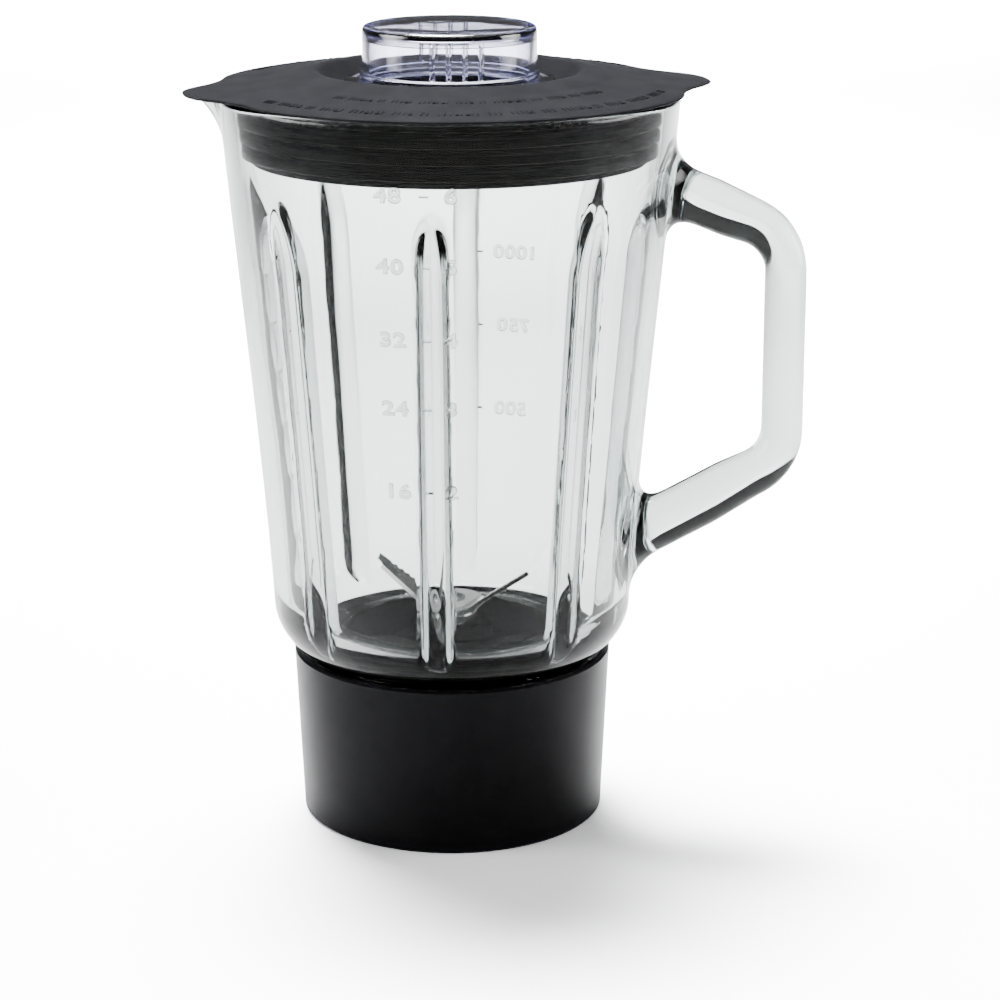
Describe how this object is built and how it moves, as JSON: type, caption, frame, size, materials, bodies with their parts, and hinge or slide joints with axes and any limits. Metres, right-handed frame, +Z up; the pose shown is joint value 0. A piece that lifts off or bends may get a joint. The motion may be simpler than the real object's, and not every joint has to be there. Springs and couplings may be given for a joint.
{
  "type": "blender jug attachment",
  "caption": "Glass blender jug with handle and spout, black lid with clear filler cap, and a black screw collar that holds the blade unit.",
  "frame": {"origin": "centre of the collar's bottom edge, where the jug stands", "axes": "+Z up along the jug, +X towards the handle"},
  "size_m": [0.1983, 0.154, 0.2615],
  "materials": {
    "collar_plastic": "black, satin, smooth",
    "ring_plastic": "black, polished",
    "screw_steel": "zinc plated",
    "carrier_plastic": "black, satin",
    "seal_rubber": "black, matte",
    "bush_bronze": "sintered bronze, oiled",
    "felt": "grey-white wool felt",
    "shaft_steel": "turned stainless steel",
    "blade_steel": "ground stainless steel",
    "plate_steel": "stamped stainless steel",
    "coupling_plastic": "black, hard, glass-filled",
    "core_brass": "machined brass",
    "jar_glass": "clear pressed glass",
    "lid_plastic": "dark grey, soft, fine matte grain",
    "lid_seal_rubber": "dark grey, soft",
    "cap_plastic": "clear, faintly blue",
    "cap_seal_silicone": "translucent silicone"
  },
  "bodies": {
    "base": {"base_collar": "collar_plastic", "base_thread_ring": "ring_plastic", "ring_screws": "screw_steel"},
    "blade_unit": {"blade_carrier": "carrier_plastic", "jar_gasket": "seal_rubber", "lower_bush": "bush_bronze", "upper_bush": "bush_bronze", "oil_felt": "felt", "shaft_seal": "seal_rubber"},
    "cutter": {"drive_shaft": "shaft_steel", "upper_thrust_washer": "shaft_steel", "lower_thrust_washer": "shaft_steel", "shaft_clip": "shaft_steel", "lower_blade": "blade_steel", "blade_spacer": "shaft_steel", "upper_blade": "blade_steel", "blade_lock_plate": "plate_steel", "drive_coupling": "coupling_plastic", "coupling_core": "core_brass"},
    "jar": {"jar": "jar_glass"},
    "lid_ring": {"lid_seal": "lid_seal_rubber"},
    "lid": {"lid_cover": "lid_plastic"},
    "cap_ring": {"cap_seal": "cap_seal_silicone"},
    "cap": {"filler_cap": "cap_plastic"}
  },
  "joints": [
    {"name": "jar_rise", "type": "slide", "parent": "base", "child": "blade_unit", "axis": [0, 0, 1], "range_m": [0, 0.0113]},
    {"name": "blade_spin", "type": "hinge", "parent": "blade_unit", "child": "cutter", "pos_m": [0, 0, 0.045], "axis": [0, 0, 1], "continuous": true},
    {"name": "jar_turn", "type": "hinge", "parent": "blade_unit", "child": "jar", "pos_m": [0, 0, 0.041], "axis": [0, 0, 1], "range_deg": [0, 450]},
    {"name": "lid_lift", "type": "slide", "parent": "jar", "child": "lid_ring", "axis": [0, 0, 1], "range_m": [0, 0.13]},
    {"name": "lid_turn", "type": "hinge", "parent": "lid_ring", "child": "lid", "pos_m": [0, 0, 0.241], "axis": [0, 0, 1], "range_deg": [-180, 180]},
    {"name": "cap_lift", "type": "slide", "parent": "lid", "child": "cap_ring", "axis": [0, 0, 1], "range_m": [0, 0.06]},
    {"name": "cap_turn", "type": "hinge", "parent": "cap_ring", "child": "cap", "pos_m": [0, 0, 0.243], "axis": [0, 0, 1], "range_deg": [0, 30]}
  ],
  "couplings": [
    {"joint": "jar_rise", "follows": "jar_turn", "m_per_rad": 0.0014324}
  ]
}
